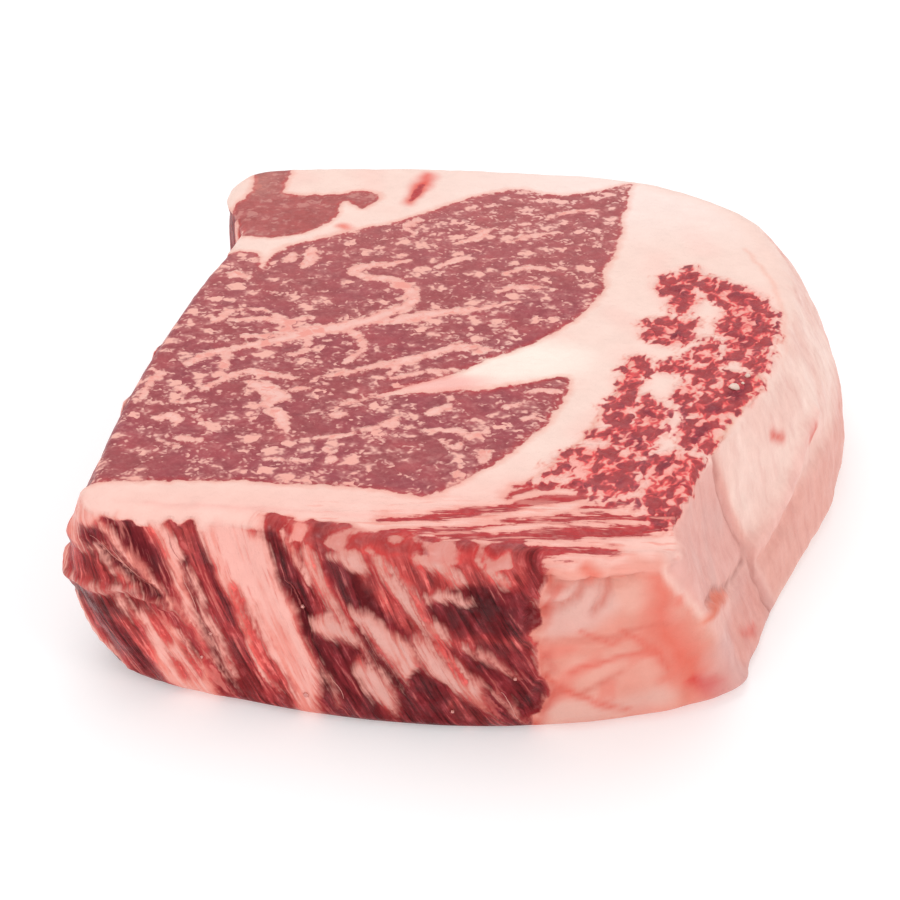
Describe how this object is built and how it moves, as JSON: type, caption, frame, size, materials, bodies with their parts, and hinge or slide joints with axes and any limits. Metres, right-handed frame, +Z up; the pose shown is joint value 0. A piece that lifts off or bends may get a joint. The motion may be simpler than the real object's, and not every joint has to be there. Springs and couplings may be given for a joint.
{
  "type": "raw beef steak",
  "caption": "Thick-cut raw rib steak: marbled eye of lean, curved cap muscle and broad fat edge between two flat cut faces, for a plate, board, pan or grill.",
  "frame": {"origin": "middle of the steak's box, on the flat underside that it lies on", "axes": "+Z up, square to the two cut faces; -Y towards the straight side of bare muscle bundles; +X towards the fat cap"},
  "size_m": [0.1574, 0.1638, 0.04],
  "materials": {
    "meat": "moist raw beef, dark lean with creamy fat, satin with wet patches"
  },
  "bodies": {
    "root": {"steak": "meat"}
  },
  "joints": []
}
